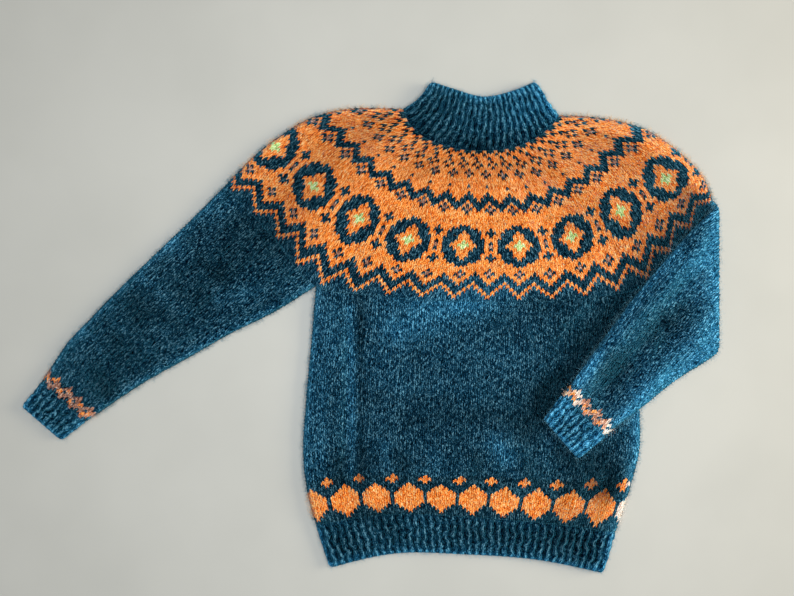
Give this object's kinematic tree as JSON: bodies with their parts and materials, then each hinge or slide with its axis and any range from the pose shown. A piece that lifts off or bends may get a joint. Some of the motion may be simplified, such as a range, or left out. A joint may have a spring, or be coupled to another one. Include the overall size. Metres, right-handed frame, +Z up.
{
  "type": "nordic yoke sweater",
  "caption": "Knitted pullover with a patterned round yoke, ribbed collar, cuffs and hem, laid flat with a sleeve folded over the front.",
  "frame": {"origin": "on the garment's flat underside, below the middle of the chest", "axes": "+X to the side of the folded sleeve, +Y towards the neck, +Z up from the surface that the garment lies on"},
  "size_m": [0.7748, 0.5454, 0.017],
  "materials": {
    "teal_knit": "stocking stitch in soft wool yarn, matt with a light fuzz",
    "teal_rib": "1x1 rib in soft wool yarn, matt with a light fuzz",
    "pattern_knit": "stranded colour knitting in orange and teal wool, matt with a light fuzz"
  },
  "bodies": {
    "root": {"hem_rib": "teal_rib", "body": "teal_knit", "yoke": "pattern_knit", "collar": "teal_rib", "sleeve_left": "teal_knit", "cuff_left": "teal_rib", "sleeve_right": "teal_knit", "cuff_right": "teal_rib"}
  },
  "joints": []
}
